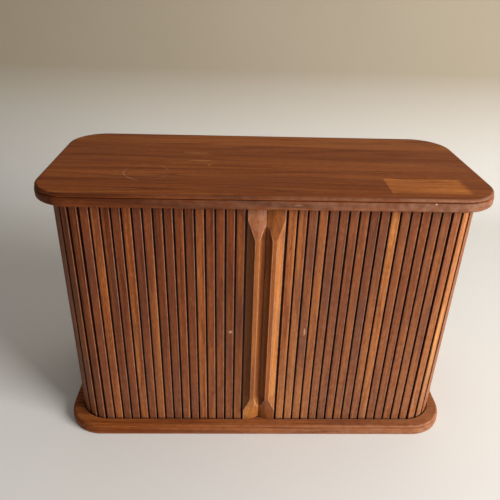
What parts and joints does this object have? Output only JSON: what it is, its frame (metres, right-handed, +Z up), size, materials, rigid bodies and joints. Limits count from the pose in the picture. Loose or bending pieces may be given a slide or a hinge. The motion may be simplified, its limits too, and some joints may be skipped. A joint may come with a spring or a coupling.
{
  "type": "tambour door table cabinet",
  "caption": "Table-top wooden cabinet with slatted tambour doors that part in the middle and run round its front corners between a rounded top and base board.",
  "frame": {"origin": "centre of the base board's underside, on the surface that it stands on", "axes": "+Z up, +X to the right when facing the doors, +Y from the doors to the back"},
  "size_m": [0.565, 0.25, 0.38],
  "materials": {
    "board_wood": "oiled teak, satin",
    "slat_wood": "oiled teak, satin",
    "handle_wood": "oiled teak, satin",
    "panel_wood": "oiled teak veneer, satin",
    "canvas": "glued cotton canvas",
    "screw_steel": "zinc plated"
  },
  "bodies": {
    "carcass": {"base_board": "board_wood", "top_board": "board_wood", "back_panel": "panel_wood", "left_side_panel": "panel_wood", "right_side_panel": "panel_wood", "side_panel_screws": "screw_steel", "back_panel_screws": "screw_steel"},
    "right_door": {"right_handle": "handle_wood", "right_lead_slats": "slat_wood", "right_lead_canvas": "canvas"},
    "right_curtain_04": {"right_slat_04": "slat_wood", "right_canvas_04": "canvas"},
    "right_curtain_05": {"right_slat_05": "slat_wood", "right_canvas_05": "canvas"},
    "right_curtain_06": {"right_slat_06": "slat_wood", "right_canvas_06": "canvas"},
    "right_curtain_07": {"right_slat_07": "slat_wood", "right_canvas_07": "canvas"},
    "right_curtain_08": {"right_slat_08": "slat_wood", "right_canvas_08": "canvas"},
    "right_curtain_middle": {"right_middle_slats": "slat_wood", "right_middle_canvas": "canvas"},
    "right_curtain_17": {"right_slat_17": "slat_wood", "right_canvas_17": "canvas"},
    "right_curtain_18": {"right_slat_18": "slat_wood", "right_canvas_18": "canvas"},
    "right_curtain_19": {"right_slat_19": "slat_wood", "right_canvas_19": "canvas"},
    "right_curtain_20": {"right_slat_20": "slat_wood", "right_canvas_20": "canvas"},
    "right_curtain_21": {"right_slat_21": "slat_wood", "right_canvas_21": "canvas"},
    "left_door": {"left_handle": "handle_wood", "left_lead_slats": "slat_wood", "left_lead_canvas": "canvas"},
    "left_curtain_04": {"left_slat_04": "slat_wood", "left_canvas_04": "canvas"},
    "left_curtain_05": {"left_slat_05": "slat_wood", "left_canvas_05": "canvas"},
    "left_curtain_06": {"left_slat_06": "slat_wood", "left_canvas_06": "canvas"},
    "left_curtain_07": {"left_slat_07": "slat_wood", "left_canvas_07": "canvas"},
    "left_curtain_08": {"left_slat_08": "slat_wood", "left_canvas_08": "canvas"},
    "left_curtain_middle": {"left_middle_slats": "slat_wood", "left_middle_canvas": "canvas"},
    "left_curtain_17": {"left_slat_17": "slat_wood", "left_canvas_17": "canvas"},
    "left_curtain_18": {"left_slat_18": "slat_wood", "left_canvas_18": "canvas"},
    "left_curtain_19": {"left_slat_19": "slat_wood", "left_canvas_19": "canvas"},
    "left_curtain_20": {"left_slat_20": "slat_wood", "left_canvas_20": "canvas"},
    "left_curtain_21": {"left_slat_21": "slat_wood", "left_canvas_21": "canvas"}
  },
  "joints": [
    {"name": "right_door_slide", "type": "slide", "parent": "carcass", "child": "right_door", "axis": [1, 0, 0], "range_m": [0, 0.1625], "deforming": ["right_slat_04", "right_canvas_04", "right_slat_05", "right_canvas_05", "right_slat_06", "right_canvas_06", "right_slat_07", "right_canvas_07", "right_slat_08", "right_canvas_08", "right_middle_slats", "right_middle_canvas", "right_slat_17", "right_canvas_17", "right_slat_18", "right_canvas_18", "right_slat_19", "right_canvas_19", "right_slat_20", "right_canvas_20", "right_slat_21", "right_canvas_21"]},
    {"name": "right_bend_04", "type": "hinge", "parent": "right_door", "child": "right_curtain_04", "pos_m": [0.0625, -0.103, 0.19], "axis": [0, 0, 1], "range_deg": [0, 13.5]},
    {"name": "right_bend_05", "type": "hinge", "parent": "right_door", "child": "right_curtain_05", "pos_m": [0.06965, -0.10215, 0.19], "axis": [0, 0, 1], "range_deg": [0, 31.49]},
    {"name": "right_bend_06", "type": "hinge", "parent": "right_door", "child": "right_curtain_06", "pos_m": [0.07616, -0.10065, 0.19], "axis": [0, 0, 1], "range_deg": [0, 49.49]},
    {"name": "right_bend_07", "type": "hinge", "parent": "right_curtain_06", "child": "right_curtain_07", "pos_m": [0.1, -0.103, 0.19], "axis": [0, 0, 1], "range_deg": [0, 18]},
    {"name": "right_bend_08", "type": "hinge", "parent": "right_curtain_06", "child": "right_curtain_08", "pos_m": [0.10625, -0.10201, 0.19], "axis": [0, 0, 1], "range_deg": [0, 35.99]},
    {"name": "right_bend_09", "type": "hinge", "parent": "right_curtain_06", "child": "right_curtain_middle", "pos_m": [0.10832, -0.10146, 0.19], "axis": [0, 0, 1], "range_deg": [0, 40.52]},
    {"name": "right_bend_17", "type": "hinge", "parent": "right_curtain_middle", "child": "right_curtain_17", "pos_m": [0.225, -0.103, 0.19], "axis": [0, 0, 1], "range_deg": [-13.5, 0]},
    {"name": "right_bend_18", "type": "hinge", "parent": "right_curtain_middle", "child": "right_curtain_18", "pos_m": [0.23215, -0.10215, 0.19], "axis": [0, 0, 1], "range_deg": [-31.49, 0]},
    {"name": "right_bend_19", "type": "hinge", "parent": "right_curtain_middle", "child": "right_curtain_19", "pos_m": [0.23866, -0.10065, 0.19], "axis": [0, 0, 1], "range_deg": [-49.49, 0]},
    {"name": "right_bend_20", "type": "hinge", "parent": "right_curtain_19", "child": "right_curtain_20", "pos_m": [0.25593, -0.08405, 0.19], "axis": [0, 0, 1], "range_deg": [-18, 0]},
    {"name": "right_bend_21", "type": "hinge", "parent": "right_curtain_19", "child": "right_curtain_21", "pos_m": [0.25924, -0.07866, 0.19], "axis": [0, 0, 1], "range_deg": [-35.99, 0]},
    {"name": "left_door_slide", "type": "slide", "parent": "carcass", "child": "left_door", "axis": [-1, 0, 0], "range_m": [0, 0.1625], "deforming": ["left_slat_04", "left_canvas_04", "left_slat_05", "left_canvas_05", "left_slat_06", "left_canvas_06", "left_slat_07", "left_canvas_07", "left_slat_08", "left_canvas_08", "left_middle_slats", "left_middle_canvas", "left_slat_17", "left_canvas_17", "left_slat_18", "left_canvas_18", "left_slat_19", "left_canvas_19", "left_slat_20", "left_canvas_20", "left_slat_21", "left_canvas_21"]},
    {"name": "left_bend_04", "type": "hinge", "parent": "left_door", "child": "left_curtain_04", "pos_m": [-0.0625, -0.103, 0.19], "axis": [0, 0, -1], "range_deg": [0, 13.5]},
    {"name": "left_bend_05", "type": "hinge", "parent": "left_door", "child": "left_curtain_05", "pos_m": [-0.06965, -0.10215, 0.19], "axis": [0, 0, -1], "range_deg": [0, 31.49]},
    {"name": "left_bend_06", "type": "hinge", "parent": "left_door", "child": "left_curtain_06", "pos_m": [-0.07616, -0.10065, 0.19], "axis": [0, 0, -1], "range_deg": [0, 49.49]},
    {"name": "left_bend_07", "type": "hinge", "parent": "left_curtain_06", "child": "left_curtain_07", "pos_m": [-0.1, -0.103, 0.19], "axis": [0, 0, -1], "range_deg": [0, 18]},
    {"name": "left_bend_08", "type": "hinge", "parent": "left_curtain_06", "child": "left_curtain_08", "pos_m": [-0.10625, -0.10201, 0.19], "axis": [0, 0, -1], "range_deg": [0, 35.99]},
    {"name": "left_bend_09", "type": "hinge", "parent": "left_curtain_06", "child": "left_curtain_middle", "pos_m": [-0.10832, -0.10146, 0.19], "axis": [0, 0, -1], "range_deg": [0, 40.52]},
    {"name": "left_bend_17", "type": "hinge", "parent": "left_curtain_middle", "child": "left_curtain_17", "pos_m": [-0.225, -0.103, 0.19], "axis": [0, 0, -1], "range_deg": [-13.5, 0]},
    {"name": "left_bend_18", "type": "hinge", "parent": "left_curtain_middle", "child": "left_curtain_18", "pos_m": [-0.23215, -0.10215, 0.19], "axis": [0, 0, -1], "range_deg": [-31.49, 0]},
    {"name": "left_bend_19", "type": "hinge", "parent": "left_curtain_middle", "child": "left_curtain_19", "pos_m": [-0.23866, -0.10065, 0.19], "axis": [0, 0, -1], "range_deg": [-49.49, 0]},
    {"name": "left_bend_20", "type": "hinge", "parent": "left_curtain_19", "child": "left_curtain_20", "pos_m": [-0.25593, -0.08405, 0.19], "axis": [0, 0, -1], "range_deg": [-18, 0]},
    {"name": "left_bend_21", "type": "hinge", "parent": "left_curtain_19", "child": "left_curtain_21", "pos_m": [-0.25924, -0.07866, 0.19], "axis": [0, 0, -1], "range_deg": [-35.99, 0]}
  ],
  "couplings": [
    {"joint": "right_bend_04", "follows": "right_door_slide", "rad_per_m": 1.4496},
    {"joint": "right_bend_05", "follows": "right_door_slide", "rad_per_m": 3.3823},
    {"joint": "right_bend_06", "follows": "right_door_slide", "rad_per_m": 5.315},
    {"joint": "right_bend_07", "follows": "right_door_slide", "rad_per_m": 1.9327},
    {"joint": "right_bend_08", "follows": "right_door_slide", "rad_per_m": 3.8655},
    {"joint": "right_bend_09", "follows": "right_door_slide", "rad_per_m": 4.3514},
    {"joint": "right_bend_17", "follows": "right_door_slide", "rad_per_m": -1.4496},
    {"joint": "right_bend_18", "follows": "right_door_slide", "rad_per_m": -3.3823},
    {"joint": "right_bend_19", "follows": "right_door_slide", "rad_per_m": -5.315},
    {"joint": "right_bend_20", "follows": "right_door_slide", "rad_per_m": -1.9327},
    {"joint": "right_bend_21", "follows": "right_door_slide", "rad_per_m": -3.8655},
    {"joint": "left_bend_04", "follows": "left_door_slide", "rad_per_m": 1.4496},
    {"joint": "left_bend_05", "follows": "left_door_slide", "rad_per_m": 3.3823},
    {"joint": "left_bend_06", "follows": "left_door_slide", "rad_per_m": 5.315},
    {"joint": "left_bend_07", "follows": "left_door_slide", "rad_per_m": 1.9327},
    {"joint": "left_bend_08", "follows": "left_door_slide", "rad_per_m": 3.8655},
    {"joint": "left_bend_09", "follows": "left_door_slide", "rad_per_m": 4.3514},
    {"joint": "left_bend_17", "follows": "left_door_slide", "rad_per_m": -1.4496},
    {"joint": "left_bend_18", "follows": "left_door_slide", "rad_per_m": -3.3823},
    {"joint": "left_bend_19", "follows": "left_door_slide", "rad_per_m": -5.315},
    {"joint": "left_bend_20", "follows": "left_door_slide", "rad_per_m": -1.9327},
    {"joint": "left_bend_21", "follows": "left_door_slide", "rad_per_m": -3.8655}
  ]
}
